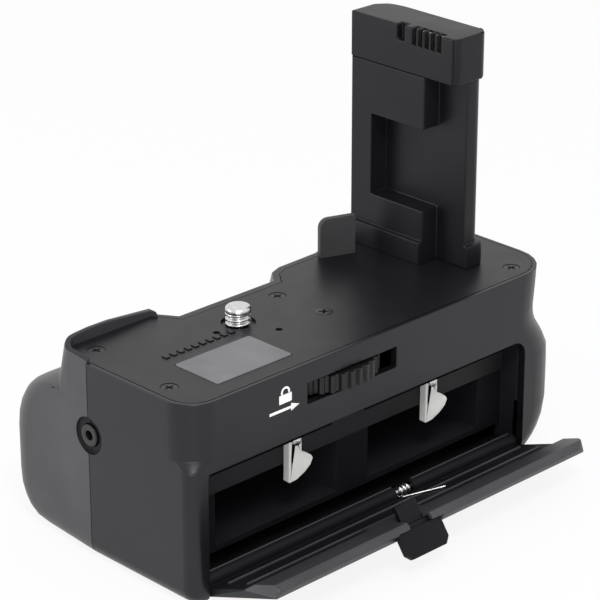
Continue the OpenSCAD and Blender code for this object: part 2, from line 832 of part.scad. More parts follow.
leaf_w = 1.6;
leaf_t = 0.6;
leaf_pitch = 4.5;
leaf_in = 3;
leaf_bow = 2.4;
leaf_tip_h = 2;
leaf_tip_in = 4;
leaf_tip_z = well_tall / 2 - leaf_tip_in;
leaf_arm_h = 0.5;
// Leaf springs on each well's back wall: a strip, an arm out of it and the touching tip
module bay_contacts() {
    color([0.8, 0.7, 0.45]) for (side = [-1, 1], k = [-1.5:1:1.5])
        translate([well_x(side) + k * leaf_pitch - leaf_w / 2, well_y1 - leaf_bow, well_z0 + leaf_in]) {
            translate([0, leaf_bow - leaf_t, 0]) cube([leaf_w, leaf_t, well_tall - 2 * leaf_in]);
            translate([0, 0, leaf_tip_z]) cube([leaf_w, leaf_t, leaf_tip_h]);
            translate([0, 0, leaf_tip_z]) cube([leaf_w, leaf_bow, leaf_arm_h]);
        }
}

module circuit_board() {
    color([0.05, 0.3, 0.15]) difference() {
        union() {
            block([board_x[0], board_y[0], board_z1 - board_t], [board_x[1], board_y[1], board_z1]);
            translate([chip_at[0], chip_at[1], board_z1 - eps]) cube(chip);
            translate([small_chip_at[0], small_chip_at[1], board_z1 - eps]) cube(small_chip);
        }
        for (p = board_places) translate([p[0], p[1], board_z1 - board_t - over])
            cylinder(d = board_hole_d, h = board_t + 2 * over);
    }
}

module jack_socket() {
    inner_x = -left_reach + wall + jack_sink + jack_wall_gap;
    color([0.07, 0.07, 0.07]) difference() {
        union() {
            block([inner_x, seam_y - jack_box / 2, board_z1],
                [inner_x + jack_len, seam_y + jack_box / 2, board_z1 + jack_box]);
            rod_x(jack_barrel / 2, -left_reach + jack_sink, inner_x + eps, seam_y, jack_z);
        }
        rod_x(jack_bore / 2, -left_reach - over, inner_x + jack_len - jack_back, seam_y, jack_z);
    }
}

module tripod_socket() {
    color([0.75, 0.65, 0.4]) translate([0, 0, -body_h]) difference() {
        union() {
            cylinder(r = tripod_r, h = tripod_h);
            translate([0, 0, wall]) cylinder(r = tripod_flange_r, h = tripod_flange_h);
        }
        translate([0, 0, -over]) cylinder(d = tripod_bore, h = tripod_h + 2 * over);
    }
}

// Screw drive
module wheel_bracket() {
    w = [wheel_x, wheel_y];
    color([0.3, 0.3, 0.32]) difference() {
        union() {
            translate([0, 0, bracket_z1 - bracket_t]) linear_extrude(bracket_t) {
                translate(w) circle(d = bracket_w);
                for (a = post_angles) {
                    translate(post_at(a)) circle(r = post_r + eye_edge);
                    strap(post_at(a), w, strap_w);
                }
            }
            for (a = post_angles) translate([post_at(a)[0], post_at(a)[1], bracket_z1 - eps])
                cylinder(r = post_r, h = -deck_t - bracket_z1 + eps);
        }
        translate([w[0], w[1], bracket_z1 - bracket_t - over])
            cylinder(d = axle_d + 2 * fit_gap, h = bracket_t + 2 * over);
        translate(concat(post_at(post_angles[0]), -deck_t - deck_screw_len + thread_room))
            cylinder(d = deck_screw_d + 2 * fit_gap, h = deck_screw_len);
    }
}

module wheel_axle() {
    color("silver") translate([wheel_x, wheel_y, bracket_z1 - bracket_t])
        cylinder(d = axle_d, h = -deck_t + axle_seat - 2 * fit_gap - bracket_z1 + bracket_t);
}

module thumbwheel() {
    mesh = 180 - drive_angle;
    groove = 360 / wheel_ribs;
    color([0.12, 0.12, 0.12]) translate([wheel_x, wheel_y, 0]) difference() {
        union() {
            translate([0, 0, wheel_z0]) linear_extrude(wheel_t)
                polygon([for (k = [0:wheel_ribs - 1], s = rib_shape) let (a = (k + s[0]) * groove)
                    (wheel_r - rib_depth + rib_depth * s[1]) * [cos(a), sin(a)]]);
            translate([0, 0, wheel_z1 - eps])
                cylinder(r = axle_d / 2 + wheel_hub, h = gear_z1 - gear_t - wheel_z1 + 2 * eps);
            translate([0, 0, gear_z1 - gear_t]) linear_extrude(gear_t) rotate(mesh)
                polygon(gear_outline(wheel_teeth));
        }
        translate([0, 0, wheel_z0 - over])
            cylinder(d = axle_d + 2 * run_gap, h = gear_z1 - wheel_z0 + 2 * over);
    }
}

// Thread above the deck, and a thinner shank through the deck that carries the gear
module camera_screw() {
    color("silver") rotate_extrude() polygon([
        [0, gear_z1 - gear_t], [shank_d / 2, gear_z1 - gear_t], [shank_d / 2, thread_start],
        [screw_d / 2, thread_start], [screw_d / 2, screw_len - screw_tip],
        [screw_d / 2 - screw_tip, screw_len], [0, screw_len]
    ]);
}

module screw_gear() {
    color([0.7, 0.6, 0.35]) translate([0, 0, gear_z1 - gear_t]) difference() {
        linear_extrude(gear_t) rotate(-drive_angle + 180 / screw_teeth)
            polygon(gear_outline(screw_teeth));
        translate([0, 0, -over]) cylinder(d = shank_d + fit_gap, h = gear_t + 2 * over);
    }
}

// Battery hooks
hook_drop = 4;
hook_z = bay_z1 - hook_drop;
hook_gap = 0.3;
hook_shift = 2;
function hook_x(side) = bay_mid + hook_shift + side * hook_pitch / 2;
module battery_hook(side) {
    half = hook_stem / 2;
    nose = [[0.05, 0.99], [0.55, 0.88], [0.86, 0.76], [1, 0.62], [0.9, 0.53], [0.62, 0.42]];
    color([0.75, 0.75, 0.72]) translate([hook_x(side), face_y - hook_gap, hook_z]) rotate([90, 0, 0])
        linear_extrude(hook_t) difference() {
            union() {
                circle(r = half);
                polygon(concat(
                    [[-half, 0], [-half, -hook_len]],
                    [for (q = nose) [q[0] * hook_nose, -q[1] * hook_len]],
                    [[half, -hook_len / 3], [half, 0]]
                ));
            }
            circle(d = hook_pin_d + 2 * run_gap);
        }
}
module battery_hook_left() { battery_hook(-1); }
module battery_hook_right() { battery_hook(1); }

module hook_pins() {
    head_t = 0.6;
    head_over = 0.5;
    head_y = face_y - hook_gap - hook_t - fit_gap;
    color("silver") for (side = [-1, 1]) {
        rod_y(hook_pin_d / 2, head_y, face_y + face_t, hook_x(side), hook_z);
        rod_y(hook_pin_d / 2 + head_over, head_y - head_t, head_y, hook_x(side), hook_z);
    }
}

// Door and its fittings, modelled closed about the hinge pin and then swung open
module swung() {
    translate([0, hinge_y, hinge_z]) rotate([door_open, 0, 0]) children();
}

module hinge_pin() {
    color("silver")
        rod_x(hinge_d / 2, bay_x0 - chassis_wall + pin_in, bay_x1 + chassis_wall - pin_in, hinge_y, hinge_z);
}

// Door section in Y and Z about the hinge pin
function heel_dir(i) = let (a = 180 + heel_sweep * i / arc_steps) [cos(a), sin(a)];
module door_section() {
    outer = -hinge_in;
    inner = outer + door_t;
    polygon(concat(
        [[outer + edge_chamfer, door_len], [outer, door_len - edge_chamfer], [outer, 0]],
        [for (i = [1:arc_steps]) hinge_in * heel_dir(i)],
        [for (i = [arc_steps:-1:0]) (hinge_in - door_t) * heel_dir(i)],
        [[inner, door_len - band_w - band_slope], [inner + band_h, door_len - band_w]],
        [[inner + band_h, door_len - edge_break], [inner + band_h - edge_break, door_len]]
    ));
}

spring_bay = [spring_x - spring_pitch, spring_x + (spring_turns + 1) * spring_pitch];
module battery_door() {
    half = lever_w / 2 + latch_clear;
    color([0.08, 0.08, 0.085]) swung() difference() {
        union() {
            intersection() {
                translate([door_x0, 0, 0]) rotate([90, 0, 90]) linear_extrude(door_x1 - door_x0)
                    door_section();
                translate([0, hinge_in, 0]) rotate([90, 0, 0]) linear_extrude(3 * hinge_in)
                    corner_rect([door_x0, -2 * hinge_in], [door_x1, door_len], mouth_r);
            }
            // Pad behind the lever's pocket
            block([lever_x - half - pad_edge, -hinge_in + door_t - eps,
                   lever_pivot_z - lever_len - pad_edge],
                [lever_x + half + pad_edge, -hinge_in + door_t + band_h, door_len - edge_break]);
            rod_x(knuckle_r, door_x0, spring_bay[0], 0, 0);
            rod_x(knuckle_r, spring_bay[1], door_x1, 0, 0);
        }
        rod_x(hinge_d / 2 + run_gap, door_x0 - over, door_x1 + over, 0, 0);
        rod_x(spring_relief, spring_bay[0], spring_bay[1], 0, 0);
        // Pocket for the lever's arm and barrel, then the slot for its nose
        block([lever_x - half, -hinge_in - over, lever_pivot_z - lever_len - latch_clear],
            [lever_x + half, -hinge_in + lever_t + latch_clear, door_len + over]);
        rod_x(lever_barrel_r + latch_clear, lever_x - half, lever_x + half, lever_pivot_y, lever_pivot_z);
        block([lever_x - nose_w / 2 - latch_clear, lever_pivot_y, lever_pivot_z - nose_slot],
            [lever_x + nose_w / 2 + latch_clear, hinge_in, door_len + over]);
        rod_x(lever_pin_d / 2 + fit_gap, lever_x - half - lever_pin_seat, lever_x + half + lever_pin_seat,
            lever_pivot_y, lever_pivot_z);
    }
}

// Lever about its own pivot, folded: arm along -Z, nose along +Z
module lever_folded() {
    nose_len = door_len - lever_pivot_z + nose_out;
    half = lever_w / 2;
    difference() {
        union() {
            rod_x(lever_barrel_r, -half, half, 0, 0);
            translate([0, lever_t - lever_pivot_in, 0]) rotate([90, 0, 0]) linear_extrude(lever_t)
                polygon([
                    [-half, -lever_root], [-half, lever_taper - lever_len], [lever_taper - half, -lever_len],
                    [half - lever_taper, -lever_len], [half, lever_taper - lever_len], [half, -lever_root]
                ]);
            block([-nose_w / 2, nose_y0, 0], [nose_w / 2, nose_y0 + nose_t, nose_len]);
        }
        rod_x(lever_pin_d / 2 + run_gap, -half - over, half + over, 0, 0);
    }
}

module latch_lever() {
    color([0.06, 0.06, 0.065]) swung() translate([lever_x, lever_pivot_y, lever_pivot_z])
        rotate([-lever_swing, 0, 0]) lever_folded();
}

module latch_pin() {
    half = lever_w / 2 + latch_clear + lever_pin_seat;
    color("silver") swung()
        rod_x(lever_pin_d / 2, lever_x - half, lever_x + half, lever_pivot_y, lever_pivot_z);
}

// Torsion spring: coils on the hinge pin, then a leg out along the door's inner face
spring_steps = spring_turns * spring_rings;
leg_gap = 0.05;
spring_leg_y = -hinge_in + door_t + spring_wire / 2 + leg_gap;
leg_points = [[-0.3, -0.35, 1], [-0.4, -0.05, 2.2], [0.3, 0, 3.3], [4, 0, 6.6], [7.8, 0, 10]];
spring_path = concat(
    [for (k = [0:spring_steps]) let (a = 360 * k / spring_rings)
        [spring_x + spring_pitch * (spring_turns - k / spring_rings),
         -spring_r * cos(a), spring_r * sin(a)]],
    [for (q = leg_points) [spring_x + q[0], spring_leg_y + q[1], q[2]]]
);
function unit(v) = v / norm(v);
function along(path, k) = unit(path[min(k + 1, len(path) - 1)] - path[max(k - 1, 0)]);
function side_of(t) = unit(cross(t, abs(t[0]) < 0.9 ? [1, 0, 0] : [0, 1, 0]));
module tube(path, d, sides) {
    n = len(path);
    turns = [for (j = [0:sides - 1]) [cos(360 * j / sides), sin(360 * j / sides)]];
    rings = [for (k = [0:n - 1]) let (t = along(path, k), u = side_of(t), v = cross(t, u))
        each [for (q = turns) path[k] + d / 2 * (u * q[0] + v * q[1])]];
    faces = [for (k = [0:n - 2], j = [0:sides - 1])
        let (a = k * sides + j, b = k * sides + (j + 1) % sides)
        each [[a, a + sides, b + sides], [a, b + sides, b]]];
    head = [for (j = [0:sides - 1]) j];
    tail = [for (j = [sides - 1:-1:0]) (n - 1) * sides + j];
    polyhedron(rings, concat(faces, [head, tail]), convexity = 10);
}
spring_gap = min([for (i = [0:len(spring_path) - 1], j = [0:len(spring_path) - 1])
    if (j - i >= spring_rings - 2) norm(spring_path[i] - spring_path[j])]) - spring_wire;
echo(least_gap_in_spring = spring_gap);
module door_spring() {
    color([0.85, 0.85, 0.85]) swung() tube(spring_path, spring_wire, spring_sides);
}

// Shutter button on the right end
bezel_back = 1.4;
button_proud = 1.4;
button_rim = 0.8;
button_rim_t = 1;
clip_t = 0.8;
clip_over = 0.6;
module button_bezel() {
    back = button_face - wall - bezel_back;
    color([0.2, 0.2, 0.21]) difference() {
        union() {
            rod_x(bezel_neck_r, back, button_face + eps, button_y, button_z);
            rod_x(bezel_r, button_face, button_face + bezel_lip, button_y, button_z);
        }
        rod_x(button_d / 2 + run_gap, back - over, button_face + 2 * over, button_y, button_z);
    }
}

module shutter_button() {
    back = button_face - wall - bezel_back - button_travel;
    color([0.15, 0.15, 0.16]) {
        rod_x(button_d / 2, back, button_face + bezel_lip + button_proud, button_y, button_z);
        rod_x(button_d / 2 + button_rim, back - button_rim_t, back, button_y, button_z);
    }
}

// Spring clip inside the wall that keeps the bezel in its hole
module button_clip() {
    back = button_face - wall - bezel_back;
    color("silver") difference() {
        rod_x(bezel_r + clip_over, back, back + clip_t, button_y, button_z);
        rod_x(bezel_neck_r + fit_gap, back - over, back + clip_t + over, button_y, button_z);
    }
}

front_shell();
rear_shell();
top_deck();
label_plate();
deck_screws();
bottom_screws();
tower_body();
tower_cap();
tower_contacts();
tower_screws();
bay_chassis();
bay_contacts();
circuit_board();
jack_socket();
tripod_socket();
wheel_bracket();
wheel_axle();
thumbwheel();
camera_screw();
screw_gear();
hook_pins();
battery_hook_left();
battery_hook_right();
hinge_pin();
battery_door();
door_spring();
latch_lever();
latch_pin();
button_bezel();
shutter_button();
button_clip();
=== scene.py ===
"""Looks for the camera battery grip: satin black mouldings, bright screw and spring, white studio.

Lengths are millimetres in the CAD frame until MM turns them into metres.
"""

import math

import bmesh
import bpy
from mathutils import Matrix, Vector


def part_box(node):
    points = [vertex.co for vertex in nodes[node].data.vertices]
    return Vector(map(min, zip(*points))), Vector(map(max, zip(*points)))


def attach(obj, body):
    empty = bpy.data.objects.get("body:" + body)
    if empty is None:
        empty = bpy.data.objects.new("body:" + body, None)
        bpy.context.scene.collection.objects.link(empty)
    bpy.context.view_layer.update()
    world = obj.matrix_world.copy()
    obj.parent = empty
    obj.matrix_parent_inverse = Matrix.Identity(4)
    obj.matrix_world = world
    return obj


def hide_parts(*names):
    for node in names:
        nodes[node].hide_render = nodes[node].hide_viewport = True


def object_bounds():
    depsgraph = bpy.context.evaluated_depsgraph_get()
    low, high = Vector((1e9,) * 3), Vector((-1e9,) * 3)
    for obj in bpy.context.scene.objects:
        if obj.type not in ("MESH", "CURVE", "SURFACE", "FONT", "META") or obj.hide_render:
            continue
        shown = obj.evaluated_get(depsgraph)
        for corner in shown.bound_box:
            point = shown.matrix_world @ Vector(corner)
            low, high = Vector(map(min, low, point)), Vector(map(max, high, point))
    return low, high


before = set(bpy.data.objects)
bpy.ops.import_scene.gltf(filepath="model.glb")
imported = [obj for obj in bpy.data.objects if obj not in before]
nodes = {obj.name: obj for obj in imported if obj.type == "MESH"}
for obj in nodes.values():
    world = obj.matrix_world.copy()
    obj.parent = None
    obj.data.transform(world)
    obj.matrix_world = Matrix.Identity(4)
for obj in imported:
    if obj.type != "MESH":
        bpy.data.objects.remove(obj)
cad_low, cad_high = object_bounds()
scene = bpy.context.scene
MM = 0.001


# Shader nodes

# The Mix node's sockets share their names, so they go by number
MIX_FACTOR = 0
FLOAT_A, FLOAT_B, FLOAT_OUT = 2, 3, 0
COLOUR_A, COLOUR_B, COLOUR_OUT = 6, 7, 2
NOISE_LOW, NOISE_HIGH = 0.3, 0.7  # most of a noise lies between these


def new_material(name):
    mat = bpy.data.materials.new(name)
    mat.use_nodes = True
    return mat, mat.node_tree, mat.node_tree.nodes["Principled BSDF"]


def add(tree, kind, **values):
    """A new node; each value goes to the input of that name, or else to the node's own property."""
    node = tree.nodes.new(kind)
    for key, value in values.items():
        if key in node.inputs:
            node.inputs[key].default_value = value
        else:
            setattr(node, key, value)
    return node


def noise(tree, coord, scale, detail):
    node = add(tree, "ShaderNodeTexNoise", Scale=scale, Detail=detail)
    tree.links.new(coord, node.inputs["Vector"])
    return node.outputs["Fac"]


def ranged(tree, value, low, high):
    """A noise spread between two numbers."""
    ends = {"From Min": NOISE_LOW, "From Max": NOISE_HIGH, "To Min": low, "To Max": high}
    node = add(tree, "ShaderNodeMapRange", **ends)
    tree.links.new(value, node.inputs["Value"])
    return node.outputs["Result"]


def mixed(tree, factor, a, b):
    node = add(tree, "ShaderNodeMix", data_type="RGBA")
    node.inputs[COLOUR_A].default_value = (*a, 1)
    node.inputs[COLOUR_B].default_value = (*b, 1)
    tree.links.new(factor, node.inputs[MIX_FACTOR])
    return node.outputs[COLOUR_OUT]


def bumped(tree, shader, height, strength, distance):
    node = add(tree, "ShaderNodeBump", Strength=strength, Distance=distance)
    tree.links.new(height, node.inputs["Height"])
    tree.links.new(node.outputs["Normal"], shader.inputs["Normal"])


# Materials: noise scales are per metre, bump depths in metres

DRIFT_SCALE, POLISH_SCALE, GRAIN_SCALE, LINES_SCALE = 55, 140, 5200, 900
DRIFT_DETAIL, POLISH_DETAIL, GRAIN_DETAIL, LINES_DETAIL = 3, 4, 2, 3
GRAIN_DEPTH, LINES_DEPTH = 0.00002, 0.00001
GRAIN_STRENGTH, LINES_STRENGTH = 0.35, 0.15
DRIFT_DARK, DRIFT_LIGHT, LINES_DARK = 0.8, 1.25, 0.82
POLISH_RANGE, LINES_RANGE = (-0.02, 0.03), (-0.05, 0.1)  # added to the roughness
WHITE = (1, 1, 1)
COOL = (0.96, 0.93, 1.0)


def moulded(name, tone, rough, grain=GRAIN_SCALE, specular=0.5, strength=GRAIN_STRENGTH,
            tint=WHITE):
    """Injection-moulded plastic: fine spark-eroded grain, slow tone drift, uneven polish."""
    mat, tree, shader = new_material(name)
    coord = add(tree, "ShaderNodeTexCoord").outputs["Object"]
    drift = ranged(tree, noise(tree, coord, DRIFT_SCALE, DRIFT_DETAIL), 0, 1)
    dark = tuple(c * DRIFT_DARK for c in tone)
    light = tuple(min(1.0, c * DRIFT_LIGHT) for c in tone)
    tree.links.new(mixed(tree, drift, dark, light), shader.inputs["Base Color"])
    polish = noise(tree, coord, POLISH_SCALE, POLISH_DETAIL)
    uneven = ranged(tree, polish, *(rough + step for step in POLISH_RANGE))
    tree.links.new(uneven, shader.inputs["Roughness"])
    shader.inputs["Specular IOR Level"].default_value = specular
    shader.inputs["Specular Tint"].default_value = (*tint, 1)
    bumped(tree, shader, noise(tree, coord, grain, GRAIN_DETAIL), strength, GRAIN_DEPTH)
    return mat


def metal(name, tone, rough):
    """Turned, drawn or plated metal: fine uneven lines, slight tone drift."""
    mat, tree, shader = new_material(name)
    coord = add(tree, "ShaderNodeTexCoord").outputs["Object"]
    lines = noise(tree, coord, LINES_SCALE, LINES_DETAIL)
    dark = tuple(c * LINES_DARK for c in tone)
    tree.links.new(mixed(tree, ranged(tree, lines, 0, 1), dark, tone), shader.inputs["Base Color"])
    uneven = ranged(tree, lines, *(rough + step for step in LINES_RANGE))
    tree.links.new(uneven, shader.inputs["Roughness"])
    shader.inputs["Metallic"].default_value = 1.0
    bumped(tree, shader, lines, LINES_STRENGTH, LINES_DEPTH)
    return mat


M = {
    "shell": moulded(
        "shell_plastic", (0.0062, 0.0060, 0.0072), rough=0.33, specular=0.39, tint=COOL),
    # grip: the front shell's own grip coating, its tone raised further as painted light on the left
    # end
    "grip": moulded(
        "grip_coating_and_painted_light", (0.034, 0.0335, 0.0360), rough=0.36, grain=4200, specular=0.47, tint=COOL),
    "deck": moulded(
        "deck_plastic", (0.0066, 0.0064, 0.0076), rough=0.36, grain=6000, specular=0.32, tint=COOL),
    "fence": moulded("fence_plastic", (0.040, 0.0395, 0.042), rough=0.5, specular=0.3),
    "tower": moulded(
        "tower_plastic", (0.0062, 0.0060, 0.0072), rough=0.36, specular=0.23, tint=COOL),
    "bay": moulded("bay_plastic", (0.0130, 0.0122, 0.0158), rough=0.6, specular=0.10),
    # bay_face: the bay plastic made darker, painted shade on the face plate deep in the bay
    "bay_face": moulded("bay_face_painted_shade", (0.0055, 0.0051, 0.0068), rough=0.6, specular=0.10),
    # rim: near-black, painted shade under the bay mouth's upper edge
    "rim": moulded("bay_rim_painted_shade", (0.0018, 0.0017, 0.0022), rough=0.7, specular=0.04),
    "brow": moulded("bay_brow_plastic", (0.0155, 0.0150, 0.0172), rough=0.5, specular=0.2),
    # band: paler, painted light on the door's free edge and its ridges; recess: duller, painted
    # shade in the door's and the jack's recesses
    "band": moulded("door_band_painted_light", (0.036, 0.035, 0.039), rough=0.46, tint=COOL),
    "recess": moulded("door_recess_painted_shade", (0.0080, 0.0076, 0.0094), rough=0.55, specular=0.15),
    "seam": moulded("seam_shadow", (0.0010, 0.0010, 0.0012), rough=0.9, specular=0.02),
    "lever": moulded(
        "lever_plastic", (0.0045, 0.0043, 0.0054), rough=0.46, specular=0.16, tint=COOL),
    "wheel": moulded("wheel_plastic", (0.0070, 0.0068, 0.0080), rough=0.38, specular=0.35),
    "button": moulded("button_plastic", (0.010, 0.010, 0.011), rough=0.22),
    "jack": moulded("jack_plastic", (0.005, 0.005, 0.006), rough=0.4),
    "hook": moulded("hook_plastic", (0.66, 0.66, 0.64), rough=0.40, grain=3500),
    "label": moulded("label_film", (0.165, 0.165, 0.174), rough=0.5, grain=2600, strength=0.5),
    "print": moulded("white_print", (0.86, 0.86, 0.86), rough=0.6, grain=3000),
    "board": moulded("solder_mask", (0.01, 0.09, 0.035), rough=0.3),
    "black_metal": moulded("black_oxide", (0.008, 0.008, 0.009), rough=0.4),
    "steel": metal("bright_steel", (0.72, 0.72, 0.73), rough=0.22),
    "wire": metal("spring_wire", (0.88, 0.88, 0.89), rough=0.16),
    "pressed": metal("pressed_steel", (0.5, 0.5, 0.52), rough=0.35),
    "gold": metal("plated_contact", (0.80, 0.72, 0.54), rough=0.25),
    "brass": metal("turned_brass", (0.74, 0.57, 0.27), rough=0.28),
}


# CAD nodes: material, rounded edges and smooth normals

DRESS = {
    "front_shell": "grip", "rear_shell": "shell", "top_deck": "deck", "label_plate": "label",
    "deck_screws": "black_metal", "bottom_screws": "black_metal", "tower_body": "tower",
    "tower_cap": "tower", "tower_contacts": "gold", "tower_screws": "steel", "bay_chassis": "bay",
    "bay_contacts": "gold", "circuit_board": "board", "jack_socket": "jack",
    "tripod_socket": "brass", "wheel_bracket": "pressed", "wheel_axle": "steel",
    "thumbwheel": "wheel", "camera_screw": "steel", "screw_gear": "brass", "hook_pins": "steel",
    "battery_hook_left": "hook", "battery_hook_right": "hook", "hinge_pin": "steel",
    "battery_door": "shell", "door_spring": "wire", "latch_lever": "lever", "latch_pin": "steel",
    "button_bezel": "button", "shutter_button": "button", "button_clip": "steel",
}

# Width of the rounded edges
ROUND = {
    "front_shell": 0.22, "rear_shell": 0.22, "label_plate": 0.08,
    "tower_body": 0.35, "tower_cap": 0.4, "bay_chassis": 0.25, "battery_door": 0.25,
    "latch_lever": 0.25, "battery_hook_left": 0.3, "battery_hook_right": 0.3,
    "thumbwheel": 0.08, "button_bezel": 0.25, "jack_socket": 0.15,
    "deck_screws": 0.06, "bottom_screws": 0.06,
}
ROUND_FROM = math.radians(34)

FLAT = {"top_deck"}  # all its faces are plane, and its edges stay sharp
PLANED = {"front_shell", "rear_shell"}  # plane faces are joined before the edges are rounded
PLANE_ANGLE = math.radians(0.3)
WELD_GAP = 2e-6  # metres

for name, obj in nodes.items():
    mesh = obj.data
    mesh.materials.clear()
    mesh.materials.append(M[DRESS[name]])
    if "custom_normal" in mesh.attributes:
        mesh.attributes.remove(mesh.attributes["custom_normal"])
    mesh.polygons.foreach_set("use_smooth", [name not in FLAT] * len(mesh.polygons))
    if name in FLAT:
        continue
    obj.modifiers.new("weld", "WELD").merge_threshold = WELD_GAP
    if name in PLANED:
        planed = obj.modifiers.new("planes", "DECIMATE")
        planed.decimate_type = "DISSOLVE"
        planed.angle_limit = PLANE_ANGLE
        planed.delimit = {"MATERIAL"}
    if name in ROUND:
        bevel = obj.modifiers.new("edges", "BEVEL")
        bevel.width = ROUND[name] * MM
        bevel.segments = 2
        bevel.limit_method = "ANGLE"
        bevel.angle_limit = ROUND_FROM
        bevel.use_clamp_overlap = False
    obj.modifiers.new("normals", "WEIGHTED_NORMAL")


# Mesh helpers


def piece(name, shape, mat, body, smooth=True):
    """A new object from vertices in metres and faces, riding on a body."""
    verts, faces = shape
    mesh = bpy.data.meshes.new(name)
    mesh.from_pydata([tuple(v) for v in verts], [], faces)
    mesh.validate()
    bm = bmesh.new()
    bm.from_mesh(mesh)
    bmesh.ops.recalc_face_normals(bm, faces=bm.faces)
    bm.to_mesh(mesh)
    bm.free()
    mesh.polygons.foreach_set("use_smooth", [smooth] * len(mesh.polygons))
    mesh.materials.append(M[mat])
    obj = bpy.data.objects.new(name, mesh)
    scene.collection.objects.link(obj)
    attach(obj, body)
    return obj


def turned(rings):
    """Closed rings with the same number of points, joined in turn, ends filled."""
    n = len(rings[0])
    verts = [p for ring in rings for p in ring]
    faces = []
    for k in range(len(rings) - 1):
        for j in range(n):
            a, b = k * n + j, k * n + (j + 1) % n
            faces.append((a, b, b + n, a + n))
    last = len(verts) - n
    faces += [tuple(range(n))[::-1], tuple(range(last, last + n))]
    return verts, faces


def prism(loops, offset):
    """Closed loops of points, each given thickness along an offset."""
    verts, faces = [], []
    for loop in loops:
        n, base = len(loop), len(verts)
        verts += [p * MM for p in loop] + [(p + offset) * MM for p in loop]
        faces.append(tuple(base + j for j in range(n)))
        faces.append(tuple(base + n + j for j in reversed(range(n))))
        for j in range(n):
            a, b = base + j, base + (j + 1) % n
            faces.append((a, b, b + n, a + n))
    return verts, faces


def arc(centre, r, start, end, n=14):
    """Points in a plane from one angle to another, in degrees."""
    angles = [math.radians(start + (end - start) * k / n) for k in range(n + 1)]
    return [(centre[0] + r * math.cos(a), centre[1] + r * math.sin(a)) for a in angles]


def circle(r, n):
    return arc((0, 0), r, 0, 360, n)[:-1]


def level_ring(z, r, n):
    return [Vector((x, y, z)) * MM for x, y in circle(r, n)]


def repaint(node, mat, chosen):
    """Another material for the faces of a CAD node that are chosen by centre and normal."""
    mesh = nodes[node].data
    mesh.materials.append(M[mat])
    for poly in mesh.polygons:
        if chosen(poly.center / MM, poly.normal):
            poly.material_index = len(mesh.materials) - 1


# Mounting screw: shank, thread and a smooth rounded tip

SCREW_SIDES = 72
SHANK = [(-5.2, 2.4), (-5.1, 2.5), (-0.32, 2.5), (-0.3, 2.55)]
TIP = [(3.3, 3.17), (3.75, 3.14), (4.05, 3.02), (4.28, 2.8), (4.42, 2.5), (4.49, 2.1), (4.5, 1.5)]
THREAD_R, THREAD_DEPTH, THREAD_PITCH, THREAD_PHASE = 3.17, 0.62, 1.27, 0.55
THREAD_Z, THREAD_RUN, THREAD_STEPS = -0.28, 3.38, 44
FLANK = 0.36  # share of the pitch on each side of the groove
FADE_END, FADE_RUN = 3.05, 0.5


def thread_ring(z):
    depth = THREAD_DEPTH * min(1.0, max(0.0, (FADE_END - z) / FADE_RUN))
    ring = []
    for j, (x, y) in enumerate(circle(1, SCREW_SIDES)):
        along = ((z - THREAD_PHASE) / THREAD_PITCH - j / SCREW_SIDES) % 1.0
        r = THREAD_R - depth * max(0.0, 1 - abs(along - 0.5) / FLANK)
        ring.append(Vector((r * x, r * y, z)) * MM)
    return ring


screw_rings = [level_ring(z, r, SCREW_SIDES) for z, r in SHANK]
screw_rings += [thread_ring(THREAD_Z + k * THREAD_RUN / THREAD_STEPS)
                for k in range(THREAD_STEPS + 1)]
screw_rings += [level_ring(z, r, SCREW_SIDES) for z, r in TIP]
screw = piece("threaded_screw", turned(screw_rings), "steel", "screw")
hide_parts("camera_screw")


# Door spring as a smooth round wire, in the frame of the closed door

HINGE = Vector((0, -25.5, -47.3))
OPEN = math.radians(69.5)
swing = Matrix.Translation(HINGE) @ Matrix.Rotation(OPEN, 4, "X")

COIL_X, COIL_PITCH, COIL_TURNS, COIL_R, COIL_STEPS = 29.1, 1.25, 3, 1.45, 20
LEG_Y = -0.9
LEG = [(-0.3, -0.35, 1), (-0.4, -0.05, 2.2), (0.3, 0, 3.3), (4, 0, 6.6), (7.8, 0, 10)]
LEG_STEPS = 6
WIRE_R, WIRE_SIDES = 0.35, 12


def smooth_path(points, steps):
    """A Catmull-Rom curve through the points."""
    out = []
    last = len(points) - 1
    for k in range(last):
        p0, p1 = points[max(k - 1, 0)], points[k]
        p2, p3 = points[k + 1], points[min(k + 2, last)]
        for j in range(steps):
            t = j / steps
            out.append(0.5 * (2 * p1 + (p2 - p0) * t
                              + (2 * p0 - 5 * p1 + 4 * p2 - p3) * t ** 2
                              + (3 * p1 - p0 - 3 * p2 + p3) * t ** 3))
    return out + [points[-1]]


def wire(path, r, sides):
    rings = []
    last = len(path) - 1
    for k, p in enumerate(path):
        along = (path[min(k + 1, last)] - path[max(k - 1, 0)]).normalized()
        aside = Vector((1, 0, 0)) if abs(along.x) < 0.9 else Vector((0, 1, 0))
        u = along.cross(aside).normalized()
        v = along.cross(u)
        rings.append([(p + u * a + v * b) * MM for a, b in circle(r, sides)])
    return turned(rings)


coil = []
for k in range(COIL_TURNS * COIL_STEPS + 1):
    turn = k / COIL_STEPS
    coil.append(Vector((COIL_X + COIL_PITCH * (COIL_TURNS - turn),
                        -COIL_R * math.cos(2 * math.pi * turn),
                        COIL_R * math.sin(2 * math.pi * turn))))
leg = [coil[-1]] + [Vector((COIL_X + x, LEG_Y + y, z)) for x, y, z in LEG]
spring_path = coil[:-1] + smooth_path(leg, LEG_STEPS)
spring = piece("spring_wire", wire([swing @ p for p in spring_path], WIRE_R, WIRE_SIDES),
               "wire", "door")
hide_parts("door_spring")


# Release button: stem with its flange, rounded rim and dished face

BUTTON_R, FLANGE_T, BUTTON_SIDES = 4.5, 1.0, 48
# Depth behind the front, and radius, from the stem over the rim to the middle of the dish
BUTTON_FACE = [
    (0.8, BUTTON_R), (0.5, 4.44), (0.22, 4.27), (0.06, 4.0), (0, 3.65), (0.04, 3.25),
    (0.22, 2.4), (0.38, 1.5), (0.47, 0.7), (0.5, 0.05),
]

